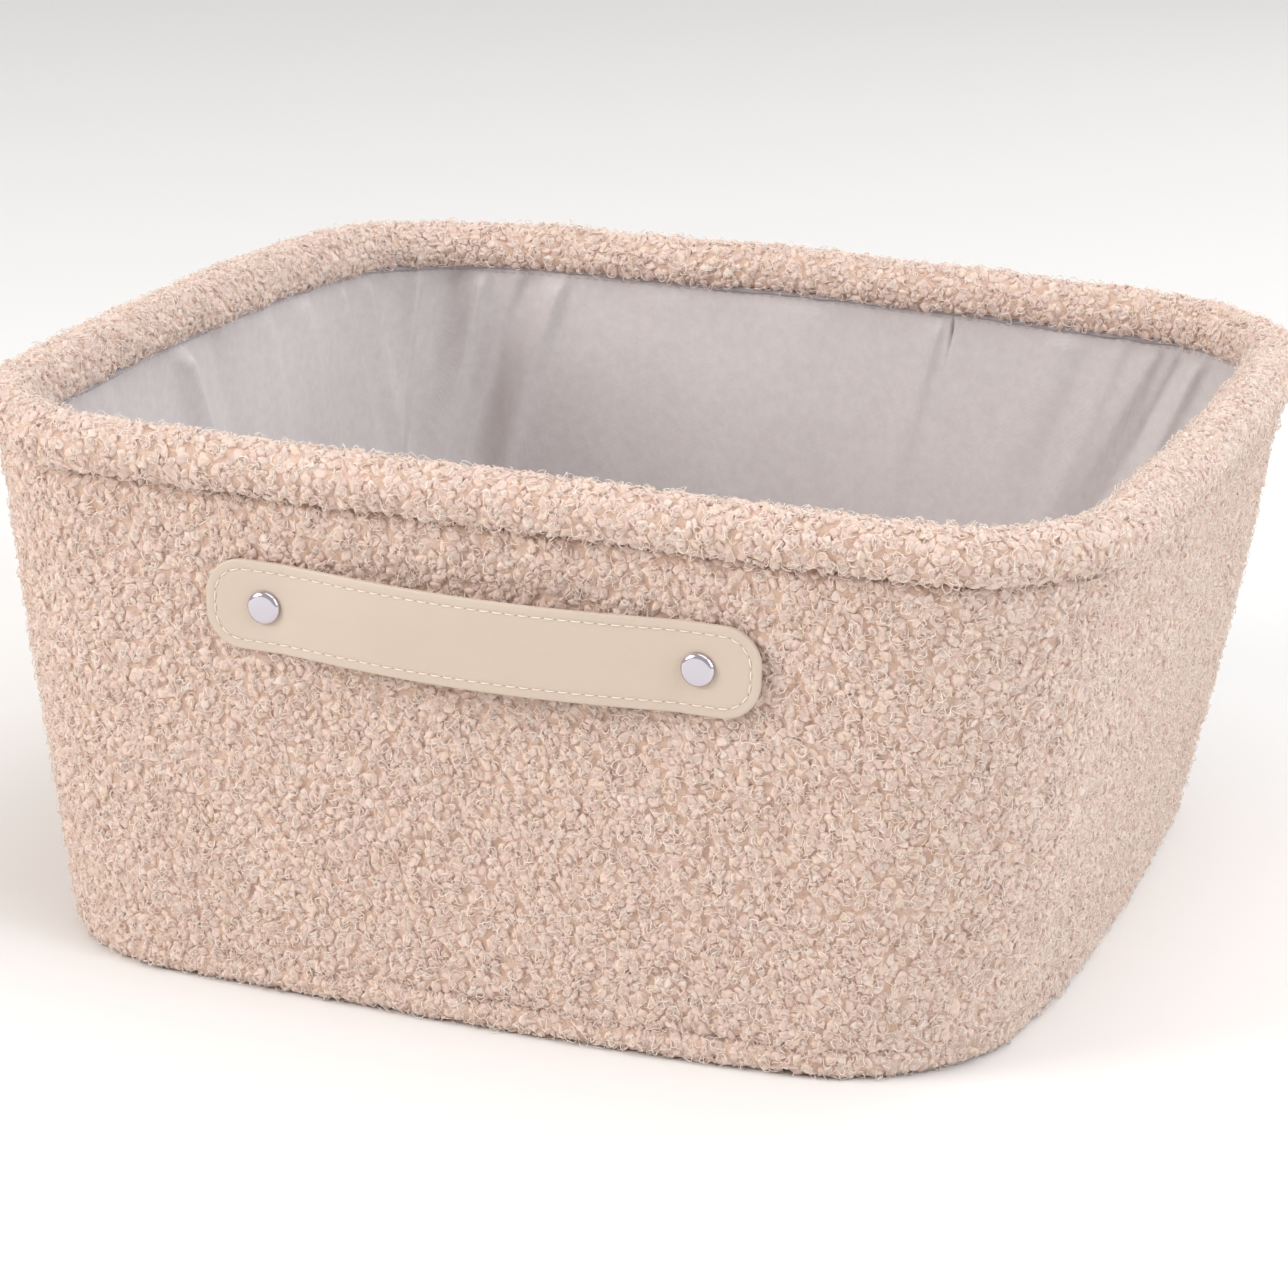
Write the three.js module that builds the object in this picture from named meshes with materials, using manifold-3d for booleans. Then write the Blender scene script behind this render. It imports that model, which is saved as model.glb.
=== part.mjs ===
// A soft storage bin: a wall of looped-pile cloth stiffened by boards, a padded hem
// folded over a steel wire ring, a loose grey lining, a lift-out base board and two
// riveted strap handles. Millimetres, +Z up, the front handle faces -Y.
import * as THREE from 'three';
import { mergeVertices } from 'three/addons/utils/BufferGeometryUtils.js';
import Module from 'manifold-3d';

const wasm = await Module();
wasm.setup();

// ---- Driving dimensions -------------------------------------------------------------

// The wall's outer face in plan: half width along X, half depth along Y, corner radius.
const HEIGHT = 188;
const RIM = { halfWidth: 190, halfDepth: 181, corner: 54 };
const BASE = { halfWidth: 163, halfDepth: 173, corner: 52 };
// How far the middle of a wall stands out beyond its ends in plan: the end walls, which
// face along X, and the front and back walls.
const END_BOW = 7;
const FRONT_BOW = 5;
const END_BELLY = 2; // how far the end walls swell at half height

const GAP = 0.3; // clearance between neighbouring pieces

// Layers of the wall, counted inwards from its outer face.
const CLOTH = 4; // looped-pile cloth
const BOARD = 2; // stiffening board
const BOARD_JOINT = 0.004; // half the gap where two boards meet, as a place on the outline
const LINING = 2; // lining cloth with the room that its loose folds take

// The base: its cloth rolls up round the bottom edge to a seam with the wall.
const BASE_ROLL = 9; // radius of the rolled edge, and height of the seam
const BASE_CLOTH = 4;
const BASE_LINING = 2;

// The hem at the rim: looped-pile cloth folded over a foam edging, with a wire in it.
const HEM_HEIGHT = 17.5; // from the stitched groove to the top
const HEM_PROUD = 6; // how far the hem stands out beyond the wall
const HEM_WIDTH = 21; // across its two legs
const HEM_CLOTH = 4.5;
const WIRE_RADIUS = 2;
const FOAM_WALL = 1.8;

// The loose base board in its cloth cover.
const INSERT_BOARD = 2.5;
const INSERT_CLOTH = 0.8;
const INSERT_CLEARANCE = 2; // between the cover and the lining, all round
const INSERT_HEM = 14; // how far the cover turns under the board

// The handles: a faced and backed strap held by two rivets, bowed out for the fingers.
const STRAP_LENGTH = 186;
const STRAP_WIDTH = 30;
const STRAP_CORNER = 12.5;
const STRAP_LAYER = 1.3;
const STRAP_BOW = 8.5;
const HANDLE_HEIGHT = 135; // height of the strap's centre line
const RIVET_SPACING = 145.5;
const RIVET_CAP = { radius: 5.6, height: 2.2, bevel: 1.1, crown: 0.33 };
const SHANK_RADIUS = 1.9;
const RIVET_FOOT = { radius: 5, thickness: 1.1 };

// Facets.
const SIDE_STEPS = 5; // along each side of the outline
const CORNER_STEPS = 6; // round each corner; even, so that a step falls at its middle
const WALL_ROWS = 3; // up the wall
const ROUND_STEPS = 20; // round a rivet
const HEM_STEPS = 3; // round each shoulder of the hem
const STRAP_STEPS = 12; // along the strap between its rounded ends
const STRAP_END_STEPS = 4; // round each corner of the strap
const ROLL_STEPS = 5; // round the base's rolled edge
const WIRE_STEPS = 8; // round the wire

// ---- Materials ----------------------------------------------------------------------

function material(color, roughness, metalness = 0) {
  return new THREE.MeshStandardMaterial({ color, roughness, metalness });
}

const finishes = {
  boucle: material(0xd9bba8, 0.95),
  lining: material(0xc9c0be, 0.85),
  board: material(0xb9a88c, 0.9),
  foam: material(0xe8e6e0, 0.95),
  wire: material(0x8d9094, 0.4, 0.9),
  strap: material(0xe2d0bb, 0.45),
  rivet: material(0xd6d4d6, 0.12, 1),
};

// ---- The bin's outline --------------------------------------------------------------

// A place on the outline is a number from 0 to 4: each whole number starts a side
// (right, back, left, front), the first half of it runs along the side, and the
// second half round the corner after it.
const SIDE_SHARE = 0.5;

function wallSizes(z) {
  const up = z / HEIGHT;
  const belly = END_BELLY * 4 * up * (1 - up);
  const between = (key) => BASE[key] + (RIM[key] - BASE[key]) * up;
  return {
    halfWidth: between('halfWidth') + belly,
    halfDepth: between('halfDepth'),
    corner: between('corner'),
  };
}

function bowed(value, half, across, acrossHalf, bow) {
  const middle = Math.max(0, 1 - (across / acrossHalf) ** 2);
  return value + Math.sign(value) * bow * middle * (value / half) ** 2;
}

// A point of the wall at a place on the outline, a height, and a depth into the wall.
function wallPoint(place, z, inset) {
  const sizes = wallSizes(z);
  const halfWidth = sizes.halfWidth - inset;
  const halfDepth = sizes.halfDepth - inset;
  const corner = sizes.corner - inset;
  const side = Math.floor(place) % 4;
  const share = place - Math.floor(place);
  // Worked out for a side that faces along +X, then turned to face its own way.
  const [out, along] = side % 2 ? [halfDepth, halfWidth] : [halfWidth, halfDepth];
  let u = out;
  let v = (along - corner) * (2 * share / SIDE_SHARE - 1);
  if (share > SIDE_SHARE) {
    const turn = (share - SIDE_SHARE) / (1 - SIDE_SHARE) * Math.PI / 2;
    u = out - corner + corner * Math.cos(turn);
    v = along - corner + corner * Math.sin(turn);
  }
  const quarter = side * Math.PI / 2;
  const x = Math.round(Math.cos(quarter)) * u - Math.round(Math.sin(quarter)) * v;
  const y = Math.round(Math.sin(quarter)) * u + Math.round(Math.cos(quarter)) * v;
  return [
    bowed(x, halfWidth, y, halfDepth, END_BOW),
    bowed(y, halfDepth, x, halfWidth, FRONT_BOW),
    z,
  ];
}

// The regular places on the outline from one place to another, with both ends.
function placesBetween(from, to) {
  const regular = [];
  for (let side = Math.floor(from); side < to; side += 1) {
    for (let i = 0; i < SIDE_STEPS; i += 1) {
      regular.push(side + SIDE_SHARE * i / SIDE_STEPS);
    }
    for (let i = 0; i < CORNER_STEPS; i += 1) {
      regular.push(side + SIDE_SHARE + (1 - SIDE_SHARE) * i / CORNER_STEPS);
    }
  }
  const closeness = 0.02;
  const inside = regular.filter((p) => p > from + closeness && p < to - closeness);
  return [from, ...inside, to];
}

// ---- Solids -------------------------------------------------------------------------

// A closed geometry from points and triangles, turned so that its faces point out.
function closedGeometry(points, triangles) {
  let volume = 0;
  const [a, b, c] = [new THREE.Vector3(), new THREE.Vector3(), new THREE.Vector3()];
  for (const [i, j, k] of triangles) {
    a.fromArray(points[i]);
    b.fromArray(points[j]);
    c.fromArray(points[k]);
    volume += a.dot(b.cross(c));
  }
  const outward = volume > 0 ? triangles : triangles.map(([i, j, k]) => [i, k, j]);
  const geometry = new THREE.BufferGeometry();
  geometry.setAttribute('position', new THREE.Float32BufferAttribute(points.flat(), 3));
  geometry.setIndex(outward.flat());
  geometry.computeVertexNormals();
  return geometry;
}

// Joins a row of sections, each the same number of points, into a closed solid. The
// sections close into a ring, or both ends are filled: by the triangles given, or by a
// fan about a middle point.
function loft(sections, { ring = false, endTriangles = null, middles = null } = {}) {
  const points = sections.flat();
  const size = sections[0].length;
  const triangles = [];
  const spans = ring ? sections.length : sections.length - 1;
  for (let s = 0; s < spans; s += 1) {
    const here = s * size;
    const next = ((s + 1) % sections.length) * size;
    for (let i = 0; i < size; i += 1) {
      const j = (i + 1) % size;
      triangles.push([here + i, here + j, next + j], [here + i, next + j, next + i]);
    }
  }
  const last = (sections.length - 1) * size;
  if (endTriangles) {
    for (const [i, j, k] of endTriangles) {
      triangles.push([i, k, j], [last + i, last + j, last + k]);
    }
  }
  if (middles) {
    const [first, second] = [points.length, points.length + 1];
    points.push(...middles);
    for (let i = 0; i < size; i += 1) {
      const j = (i + 1) % size;
      triangles.push([first, j, i], [second, last + i, last + j]);
    }
  }
  return closedGeometry(points, triangles);
}

// Triangles that fill a profile, each turned the way the profile runs.
function filled(profile) {
  const { triangulateShape, area } = THREE.ShapeUtils;
  const flat = profile.map(([inset, z]) => new THREE.Vector2(inset, z));
  const turn = Math.sign(area(flat));
  return triangulateShape(flat, []).map(([i, j, k]) => (
    Math.sign(area([flat[i], flat[j], flat[k]])) === turn ? [i, j, k] : [i, k, j]
  ));
}

// A closed profile of [inset, z] points, swept right round the wall.
function ringAlongWall(profile) {
  const places = placesBetween(0, 4).slice(0, -1);
  const sections = places.map((p) => profile.map(([inset, z]) => wallPoint(p, z, inset)));
  return loft(sections, { ring: true });
}

// The same, swept from one place on the outline to another.
function stretchAlongWall(profile, from, to) {
  const places = placesBetween(from, to);
  const sections = places.map((p) => profile.map(([inset, z]) => wallPoint(p, z, inset)));
  return loft(sections, { endTriangles: filled(profile) });
}

// A plate that fills the outline: its profile goes from the underside out and round
// its edge to the top, and both faces are closed at the middle.
function plate(profile) {
  const places = placesBetween(0, 4).slice(0, -1);
  const sections = profile.map(([inset, z]) => places.map((p) => wallPoint(p, z, inset)));
  const under = profile[0][1];
  const top = profile[profile.length - 1][1];
  return loft(sections, { middles: [[0, 0, under], [0, 0, top]] });
}

// A layer of the wall between two insets and two heights, as a closed profile.
function layerProfile(outer, inner, low, high) {
  const heights = [];
  for (let i = 0; i <= WALL_ROWS; i += 1) {
    heights.push(low + (high - low) * i / WALL_ROWS);
  }
  const outside = heights.map((z) => [outer, z]);
  const inside = heights.map((z) => [inner, z]).reverse();
  return [...outside, ...inside];
}

// Points on an arc in a profile, about [inset, z], by angle in degrees.
function arc(inset, z, radius, from, to, steps) {
  const points = [];
  for (let i = 0; i <= steps; i += 1) {
    const angle = THREE.MathUtils.degToRad(from + (to - from) * i / steps);
    points.push([inset + radius * Math.cos(angle), z + radius * Math.sin(angle)]);
  }
  return points;
}

function toManifold(geometry) {
  const bare = geometry.clone();
  bare.deleteAttribute('normal');
  bare.deleteAttribute('uv');
  const merged = mergeVertices(bare);
  return new wasm.Manifold(new wasm.Mesh({
    numProp: 3,
    vertProperties: new Float32Array(merged.attributes.position.array),
    triVerts: new Uint32Array(merged.index.array),
  }));
}

// A geometry with the cutters taken out of it.
function cut(geometry, cutters) {
  let solid = toManifold(geometry);
  for (const cutter of cutters) {
    solid = solid.subtract(toManifold(cutter));
  }
  const mesh = solid.getMesh();
  const result = new THREE.BufferGeometry();
  const positions = new THREE.BufferAttribute(new Float32Array(mesh.vertProperties), 3);
  result.setAttribute('position', positions);
  result.setIndex(new THREE.BufferAttribute(new Uint32Array(mesh.triVerts), 1));
  result.computeVertexNormals();
  return result;
}

function mesh(name, geometry, finish) {
  const piece = new THREE.Mesh(geometry, finishes[finish]);
  piece.name = name;
  return piece;
}

// ---- Heights and insets worked out from the dimensions --------------------------------

const groove = HEIGHT - HEM_HEIGHT; // the stitched line under the hem
const wallBottom = BASE_ROLL + GAP;
const boardInset = CLOTH + GAP;
const liningInset = boardInset + BOARD + GAP;
const liningFace = liningInset + LINING;
const hemOuter = -HEM_PROUD;
const hemInner = HEM_WIDTH - HEM_PROUD;
const innerRoll = BASE_ROLL - BASE_CLOTH; // inner radius of the base's rolled edge
const baseLiningZ = BASE_CLOTH + GAP;
const insertZ = baseLiningZ + BASE_LINING + GAP;
const insertInset = liningFace + INSERT_CLEARANCE;

// ---- Handles ------------------------------------------------------------------------

// Heights above the wall's face in a handle's own frame: X along the strap, Y up the
// wall, Z out of it.
const backingZ = GAP;
const facingZ = backingZ + STRAP_LAYER + GAP;
const capZ = facingZ + STRAP_LAYER + GAP;
const footZ = -(liningInset + GAP);

// How far a strap stands out beyond its riveted ends, which lie flat under the caps.
function strapBow(x) {
  const share = Math.min(1, Math.abs(x) / (RIVET_SPACING / 2 - RIVET_CAP.radius));
  return STRAP_BOW * (1 - share ** 2) ** 1.5;
}

// Distances along a strap and its half width there, from one rounded end to the other.
function strapStations() {
  const straight = STRAP_LENGTH / 2 - STRAP_CORNER;
  const narrow = STRAP_WIDTH / 2 - STRAP_CORNER;
  const end = arc(straight, narrow, STRAP_CORNER, 0, 90, STRAP_END_STEPS);
  const middle = [];
  for (let i = 1; i < STRAP_STEPS; i += 1) {
    middle.push([straight * (1 - 2 * i / STRAP_STEPS), STRAP_WIDTH / 2]);
  }
  const mirrored = end.map(([x, half]) => [-x, half]).reverse();
  return [...end, ...middle, ...mirrored];
}

// One layer of a strap, from its underside at the rivets.
function strapLayer(z) {
  const sections = strapStations().map(([x, half]) => {
    const under = z + strapBow(x);
    const top = under + STRAP_LAYER;
    return [[x, -half, under], [x, half, under], [x, half, top], [x, -half, top]];
  });
  return loft(sections, { endTriangles: [[0, 1, 2], [0, 2, 3]] });
}

// A turned piece standing on the wall at one of a strap's rivets.
function turned(profile, x) {
  const points = profile.map(([radius, z]) => new THREE.Vector2(radius, z));
  const geometry = new THREE.LatheGeometry(points, ROUND_STEPS);
  geometry.rotateX(Math.PI / 2);
  geometry.translate(x, 0, 0);
  return geometry;
}

function disc(radius, low, high, x) {
  return turned([[0, low], [radius, low], [radius, high], [0, high]], x);
}

// A flat-topped cap with a bevelled edge and a blind socket for the shank.
function rivetCap(x) {
  const { radius, height, bevel, crown } = RIVET_CAP;
  const socket = SHANK_RADIUS + GAP;
  const profile = [
    [socket, capZ], [radius, capZ], [radius, capZ + height - bevel],
    [radius - crown, capZ + height - crown],
    [radius - bevel, capZ + height], [0, capZ + height],
    [0, capZ + height / 2], [socket, capZ + height / 2], [socket, capZ],
  ];
  return turned(profile, x);
}

// The shank through strap, cloth and board, with its foot behind the board.
function rivetPost(x) {
  const tip = capZ + RIVET_CAP.height / 2 - GAP;
  const { radius, thickness } = RIVET_FOOT;
  const profile = [
    [0, footZ - thickness], [radius, footZ - thickness], [radius, footZ],
    [SHANK_RADIUS, footZ], [SHANK_RADIUS, tip], [0, tip],
  ];
  return turned(profile, x);
}

const rivetXs = [-RIVET_SPACING / 2, RIVET_SPACING / 2];
const holes = rivetXs.map((x) => disc(SHANK_RADIUS + GAP, footZ - GAP, capZ, x));
const footPockets = rivetXs.map((x) => {
  const { radius, thickness } = RIVET_FOOT;
  return disc(radius + 2 * GAP, footZ - thickness - GAP, footZ + LINING / 2, x);
});

function handle(side) {
  const group = new THREE.Group();
  group.add(mesh(`${side}_strap_facing`, cut(strapLayer(facingZ), holes), 'strap'));
  group.add(mesh(`${side}_strap_backing`, cut(strapLayer(backingZ), holes), 'strap'));
  rivetXs.forEach((x, i) => {
    const end = i ? 'right' : 'left';
    group.add(mesh(`${side}_rivet_cap_${end}`, rivetCap(x), 'rivet'));
    group.add(mesh(`${side}_rivet_post_${end}`, rivetPost(x), 'rivet'));
  });
  return group;
}

// Stands a handle's frame on the wall's face: on the front, or turned to the back.
function placeHandle(group, turn) {
  const faceY = (z) => {
    const { halfWidth, halfDepth } = wallSizes(z);
    return bowed(halfDepth, halfDepth, RIVET_SPACING / 2, halfWidth, FRONT_BOW);
  };
  const span = STRAP_WIDTH / 2;
  const rise = faceY(HANDLE_HEIGHT + span) - faceY(HANDLE_HEIGHT - span);
  const lean = Math.atan2(rise, STRAP_WIDTH);
  group.rotation.x = Math.PI / 2 + lean;
  group.position.set(0, -faceY(HANDLE_HEIGHT), HANDLE_HEIGHT);
  const turner = new THREE.Group();
  turner.rotation.z = turn;
  turner.add(group);
  turner.updateMatrixWorld(true);
  return turner;
}

const handles = [
  placeHandle(handle('front'), 0),
  placeHandle(handle('back'), Math.PI),
];

// The same cutters, moved to where each handle stands.
function onHandles(cutters) {
  return handles.flatMap((turner) => {
    const place = turner.children[0].matrixWorld;
    return cutters.map((cutter) => cutter.clone().applyMatrix4(place));
  });
}

// ---- Wall, base and lining ----------------------------------------------------------

function outerWall() {
  const profile = layerProfile(0, CLOTH, wallBottom, groove - GAP);
  return mesh('outer_wall', cut(ringAlongWall(profile), onHandles(holes)), 'boucle');
}

function outerBase() {
  const profile = [
    ...arc(BASE_ROLL, BASE_ROLL, BASE_ROLL, 270, 180, ROLL_STEPS),
    ...arc(BASE_ROLL, BASE_ROLL, innerRoll, 180, 270, ROLL_STEPS - 1),
  ];
  return mesh('outer_base', plate(profile), 'boucle');
}

// One board to each side, meeting its neighbours in the middle of the corners.
function wallBoards() {
  const top = HEIGHT - HEM_CLOTH - GAP - FOAM_WALL - 2 * WIRE_RADIUS - 3 * GAP;
  const profile = layerProfile(boardInset, boardInset + BOARD, wallBottom, top);
  const cornerHalf = (1 - SIDE_SHARE) / 2;
  const reach = cornerHalf - BOARD_JOINT;
  return ['right', 'back', 'left', 'front'].map((name, side) => {
    const start = 4 + side;
    let geometry = stretchAlongWall(profile, start - reach, start + SIDE_SHARE + reach);
    if (side % 2) {
      geometry = cut(geometry, onHandles(holes));
    }
    return mesh(`${name}_board`, geometry, 'board');
  });
}

function liningWall() {
  const rollZ = BASE_ROLL - Math.sqrt(innerRoll ** 2 - (BASE_ROLL - liningInset) ** 2);
  const profile = layerProfile(liningInset, liningFace, rollZ + 2 * GAP, groove - GAP);
  return mesh('lining_wall', cut(ringAlongWall(profile), onHandles(footPockets)), 'lining');
}

function liningBase() {
  const edge = liningFace + GAP;
  const top = baseLiningZ + BASE_LINING;
  return mesh('lining_base', plate([[edge, baseLiningZ], [edge, top]]), 'lining');
}

// ---- Hem ----------------------------------------------------------------------------

// An upside-down U: legs from `low` up to rounded shoulders, with an open underside.
function hood(outer, inner, thickness, low, top, shoulder) {
  const hollow = shoulder - thickness;
  const z = top - shoulder;
  return [
    [outer, low],
    ...arc(outer + shoulder, z, shoulder, 180, 90, HEM_STEPS),
    ...arc(inner - shoulder, z, shoulder, 90, 0, HEM_STEPS),
    [inner, low],
    [inner - thickness, low],
    ...arc(inner - shoulder, z, hollow, 0, 90, HEM_STEPS),
    ...arc(outer + shoulder, z, hollow, 90, 180, HEM_STEPS),
    [outer + thickness, low],
  ];
}

const foamOuter = hemOuter + HEM_CLOTH + GAP;
const foamInner = hemInner - HEM_CLOTH - GAP;
const foamTop = HEIGHT - HEM_CLOTH - GAP;
const hemShoulder = HEM_WIDTH / 2 - 1; // leaves a narrow flat along the top
const foamShoulder = hemShoulder - HEM_CLOTH - GAP;

function hem() {
  const profile = hood(hemOuter, hemInner, HEM_CLOTH, groove, HEIGHT, hemShoulder);
  return mesh('rim_hem', ringAlongWall(profile), 'boucle');
}

function hemFoam() {
  const low = groove + GAP;
  const profile = hood(foamOuter, foamInner, FOAM_WALL, low, foamTop, foamShoulder);
  return mesh('rim_foam', ringAlongWall(profile), 'foam');
}

function hemWire() {
  const middle = (foamOuter + foamInner) / 2;
  const z = foamTop - FOAM_WALL - GAP - WIRE_RADIUS;
  const profile = arc(middle, z, WIRE_RADIUS, 0, 360, WIRE_STEPS).slice(0, -1);
  return mesh('rim_wire', ringAlongWall(profile), 'wire');
}

// ---- Loose base board ---------------------------------------------------------------

function insertBoard() {
  const edge = insertInset + INSERT_CLOTH + GAP;
  const low = insertZ + INSERT_CLOTH + GAP;
  return mesh('insert_board', plate([[edge, low], [edge, low + INSERT_BOARD]]), 'board');
}

// Cloth glued over the board and turned under its edge, open in the middle below.
function insertCover() {
  const low = insertZ + INSERT_CLOTH;
  const high = low + 2 * GAP + INSERT_BOARD;
  const inner = insertInset + INSERT_CLOTH;
  const profile = [
    [inner, high], [inner, low], [insertInset + INSERT_HEM, low],
    [insertInset + INSERT_HEM, insertZ], [insertInset, insertZ],
    [insertInset, high + INSERT_CLOTH],
  ];
  return mesh('insert_cover', plate(profile), 'lining');
}

// ---- The bin ------------------------------------------------------------------------

const group = new THREE.Group();
group.add(outerWall(), outerBase(), ...wallBoards());
group.add(hem(), hemFoam(), hemWire());
group.add(liningWall(), liningBase());
group.add(insertBoard(), insertCover());
group.add(...handles);

export default group;
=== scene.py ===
"""Looks for the soft storage bin: looped-pile walls, a padded hem, a loose grey lining,
a lift-out base board and two riveted strap handles. Lengths are in millimetres until a
mesh is made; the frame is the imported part's own, +Z up, with the front handle at -Y."""
import math

import bmesh
import bpy
import numpy as np
from mathutils import Matrix, Vector


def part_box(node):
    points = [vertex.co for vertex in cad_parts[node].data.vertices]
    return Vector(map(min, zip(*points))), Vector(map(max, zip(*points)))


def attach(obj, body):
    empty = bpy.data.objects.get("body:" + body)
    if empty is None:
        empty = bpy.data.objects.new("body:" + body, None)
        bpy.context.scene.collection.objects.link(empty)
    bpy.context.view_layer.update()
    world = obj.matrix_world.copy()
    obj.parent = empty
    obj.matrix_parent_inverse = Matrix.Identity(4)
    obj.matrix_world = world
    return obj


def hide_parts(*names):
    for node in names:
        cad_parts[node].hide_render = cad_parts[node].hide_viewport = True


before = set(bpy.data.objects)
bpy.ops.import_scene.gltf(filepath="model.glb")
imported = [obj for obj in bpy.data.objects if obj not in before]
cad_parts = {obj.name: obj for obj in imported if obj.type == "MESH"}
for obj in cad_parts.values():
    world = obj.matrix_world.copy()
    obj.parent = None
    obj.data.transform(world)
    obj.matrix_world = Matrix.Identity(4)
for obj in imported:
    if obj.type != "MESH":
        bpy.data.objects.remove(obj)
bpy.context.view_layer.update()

MM = 0.001
BIN = "bin"
INSERT = "base_insert"

# ---- Dimensions, as in the part ----

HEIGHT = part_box("rim_hem")[1].z / MM
RIM = (190.0, 181.0, 54.0)  # half width, half depth, corner radius
BASE = (163.0, 173.0, 52.0)
END_BOW, FRONT_BOW, END_BELLY = 7.0, 5.0, 2.0
BASE_ROLL = 9.0  # height of the seam between wall and base
LINING_FACE = -8.6  # the lining's face, from the wall's face outwards
HEM_PROUD = 5.0  # the hem's cloth under its pile
HEM_INNER = -13.6
GROOVE = HEIGHT - 17.5  # the line of stitching under the hem
SEAM = HEIGHT - 16.0  # inner edge of the hem
STRAP_LENGTH, STRAP_WIDTH, STRAP_CORNER, STRAP_BOW = 186.0, 30.0, 12.5, 8.5
STRAP_LAYER = 1.3
HANDLE_HEIGHT, RIVET_SPACING = 135.0, 145.5

# ---- The wall's shape ----


def wall_sizes(z):
    """Half width, half depth and corner radius at a height."""
    up = z / HEIGHT
    half_width, half_depth, corner = (b + (r - b) * up for b, r in zip(BASE, RIM))
    return half_width + END_BELLY * 4 * up * (1 - up), half_depth, corner


def bowed(value, half, across, across_half, bow):
    """A side drawn outwards, most at its middle."""
    middle = np.maximum(0, 1 - (across / across_half) ** 2)
    return value + np.sign(value) * bow * middle * (value / half) ** 2


def outline(place, z, out):
    """Points of the wall: place 0 to 4 counts its sides from +X, counter-clockwise."""
    half_width, half_depth, corner = wall_sizes(z)
    half_width, half_depth, corner = half_width + out, half_depth + out, corner + out
    side = np.floor(place).astype(int) % 4
    share = place - np.floor(place)
    odd = side % 2 == 1
    reach = np.where(odd, half_depth, half_width)
    along = np.where(odd, half_width, half_depth)
    turn = np.maximum(0, 2 * share - 1) * np.pi / 2
    u = reach - corner + corner * np.cos(turn)
    v = np.where(share > 0.5, along - corner + corner * np.sin(turn), (along - corner) * (4 * share - 1))
    c = np.array([1, 0, -1, 0])[side]
    s = np.array([0, 1, 0, -1])[side]
    x, y = c * u - s * v, s * u + c * v
    return (
        bowed(x, half_width, y, half_depth, END_BOW),
        bowed(y, half_depth, x, half_width, FRONT_BOW),
        z + 0 * x,
    )


def arc_table():
    """Places against the share of the way round at half height."""
    place = np.linspace(0, 4, 4001)
    x, y, _ = outline(place, np.full_like(place, HEIGHT / 2), 0.0)
    step = np.hypot(np.diff(x), np.diff(y))
    total = step.sum()
    return place, np.concatenate([[0], np.cumsum(step)]) / total, total


PLACES, SHARES, ROUND = arc_table()


def place_at(share):
    """A place on the outline from a share of the way round."""
    return np.interp(share % 1.0, SHARES, PLACES)


def smooth_noise(seed, columns, rows):
    """Smooth noise from -1 to 1 over u, v from 0 to 1; u closes on itself."""
    grid = np.random.default_rng(seed).uniform(-1, 1, (rows + 2, columns))

    def at(u, v):
        x = (u % 1.0) * columns
        y = np.clip(v, 0, 1) * rows
        i, j = np.floor(x).astype(int), np.minimum(np.floor(y).astype(int), rows)
        fx, fy = x - i, y - j
        fx, fy = fx * fx * (3 - 2 * fx), fy * fy * (3 - 2 * fy)
        i, k = i % columns, (i + 1) % columns
        low = grid[j, i] * (1 - fx) + grid[j, k] * fx
        high = grid[j + 1, i] * (1 - fx) + grid[j + 1, k] * fx
        return low * (1 - fy) + high * fy

    return at


# how far each kind of unevenness stands out, and its noise
UNEVEN = (
    (0.55, smooth_noise(11, 46, 2)),  # upright bands
    (0.9, smooth_noise(12, 17, 3)),  # broad swells
    (0.35, smooth_noise(15, 150, 1)),  # narrow wales
)


def swell(share, z):
    """How far the soft wall stands out from its even shape; less near the floor."""
    up = np.clip(z / HEIGHT, 0, 1)
    calm = np.minimum(1, 4 * up) * 0.8 + 0.2
    return sum(depth * noise(share, up) for depth, noise in UNEVEN) * calm


LIFT = {"front": 0.5, "back": 4.0, "left": 4.3, "right": 1.5}  # of the rim at each side's middle
SUNK_X, SUNK_Y, SUNK_REACH, SUNK_DEPTH = 150, -160, 62, 7.5  # the front right corner


def warp(x, y, z):
    """The slack of the real bin: a rim that isn't level, a corner pushed in near the floor."""
    up = np.clip(z / HEIGHT, 0, 1.1)
    ax, ay = np.clip(np.abs(x) / RIM[0], 0, 1), np.clip(np.abs(y) / RIM[1], 0, 1)
    ends = ax ** 2 * (1 - ay ** 2)
    sides = ay ** 2 * (1 - ax ** 2)
    lift = np.where(x > 0, LIFT["right"], LIFT["left"]) * ends
    lift = lift + np.where(y > 0, LIFT["back"], LIFT["front"]) * sides
    away = np.hypot(x - SUNK_X, y - SUNK_Y) / SUNK_REACH
    sunk = SUNK_DEPTH * np.exp(-(away ** 2)) * np.clip(1 - up, 0, 1) ** 1.5
    return x - 0.75 * sunk, y + 0.66 * sunk, z + lift * up


def skin(share, z, out):
    """Points at a height on the soft wall, or as far out from it as `out` says."""
    x, y, z = outline(place_at(share), z, out + swell(share, z))
    return np.stack(warp(x, y, z), axis=-1)


def dip(value, middle, half_width):
    """A smooth bump from 0 to 1."""
    return np.exp(-(((value - middle) / half_width) ** 2))


def share_apart(share, middle):
    """How far a share is from another, the short way round."""
    return (share - middle + 0.5) % 1.0 - 0.5


CREASE = smooth_noise(13, 60, 1)
SAG = smooth_noise(14, 50, 1)
FRONT_MIDDLE = float(np.interp(3.25, PLACES, SHARES))
CREASE_MIDDLE, CREASE_HALF = FRONT_MIDDLE + 0.05, 0.06  # where the base seam shows most


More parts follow.
